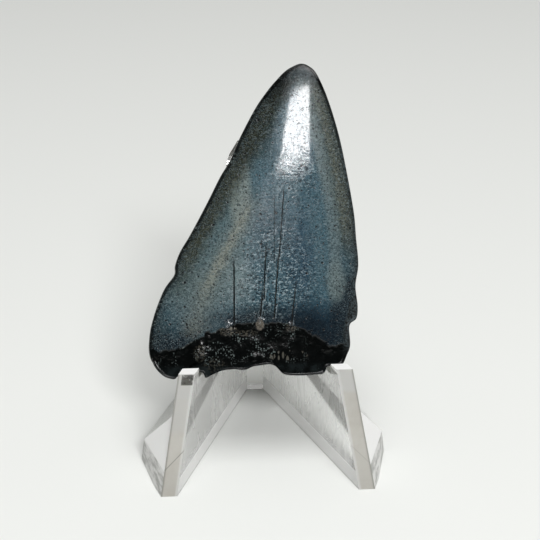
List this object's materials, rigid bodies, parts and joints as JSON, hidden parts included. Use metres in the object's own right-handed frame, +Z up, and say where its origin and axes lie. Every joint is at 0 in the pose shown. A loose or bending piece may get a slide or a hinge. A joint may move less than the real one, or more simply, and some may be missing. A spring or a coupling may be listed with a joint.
{
  "type": "fossil shark tooth on stand",
  "caption": "Polished blue-grey fossil great white shark tooth leaning in a clear plastic stand whose two walls meet at a ridge behind it.",
  "frame": {"origin": "on the floor, at the middle of the object's bounding box", "axes": "+X to the viewer's right across the stand, -Y towards the front, where the tooth shows its flat face, +Z up"},
  "size_m": [0.0454, 0.0384, 0.068],
  "materials": {
    "fossil": "polished",
    "clear_plastic": "gloss"
  },
  "bodies": {
    "root": {"tooth": "fossil", "display_stand": "clear_plastic"}
  },
  "joints": []
}
